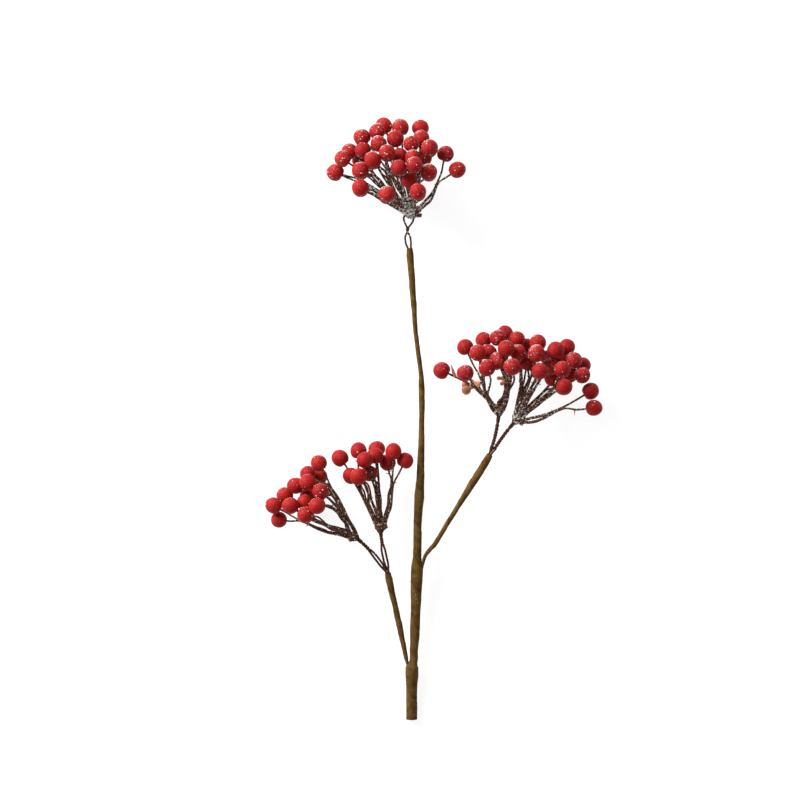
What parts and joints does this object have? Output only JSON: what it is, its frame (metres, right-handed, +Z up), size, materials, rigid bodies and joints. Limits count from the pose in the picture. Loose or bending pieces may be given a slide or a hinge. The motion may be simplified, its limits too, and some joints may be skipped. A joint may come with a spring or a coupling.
{
  "type": "frosted berry sprig",
  "caption": "Decorative sprig of round red frosted berries on dark forked twigs, wired in bunches to a tape-wrapped stem with side branches, lying flat.",
  "frame": {"origin": "on the surface the sprig lies on, under the middle of its box", "axes": "+Z up from the surface, +Y along the stem from the cut end to the crown, +X to the right as seen from above"},
  "size_m": [0.2016, 0.362, 0.0672],
  "materials": {
    "stem_tape": "olive brown waxed crepe paper tape, wound in a spiral",
    "core_steel": "cut end of plain steel stem wire",
    "binding_wire": "dark brown paper-covered binding wire",
    "berry_red": "painted red foam berry, satin, with sparse white frost",
    "twig_brown": "dark brown moulded twig, rough",
    "bare_tip": "bare peach plastic at the unpainted tip of a twig",
    "frost": "glued white frost grains"
  },
  "bodies": {
    "root": {"main_stem": "stem_tape", "right_branch": "stem_tape", "left_branch": "stem_tape", "stem_core": "core_steel", "crown_wire": "binding_wire", "right_inner_wire": "binding_wire", "right_outer_wire": "binding_wire", "left_low_wire": "binding_wire", "left_high_wire": "binding_wire", "crown_head": "berry_red", "right_inner_head": "berry_red", "right_outer_head": "berry_red", "left_low_head": "berry_red", "left_high_head": "berry_red"}
  },
  "joints": []
}
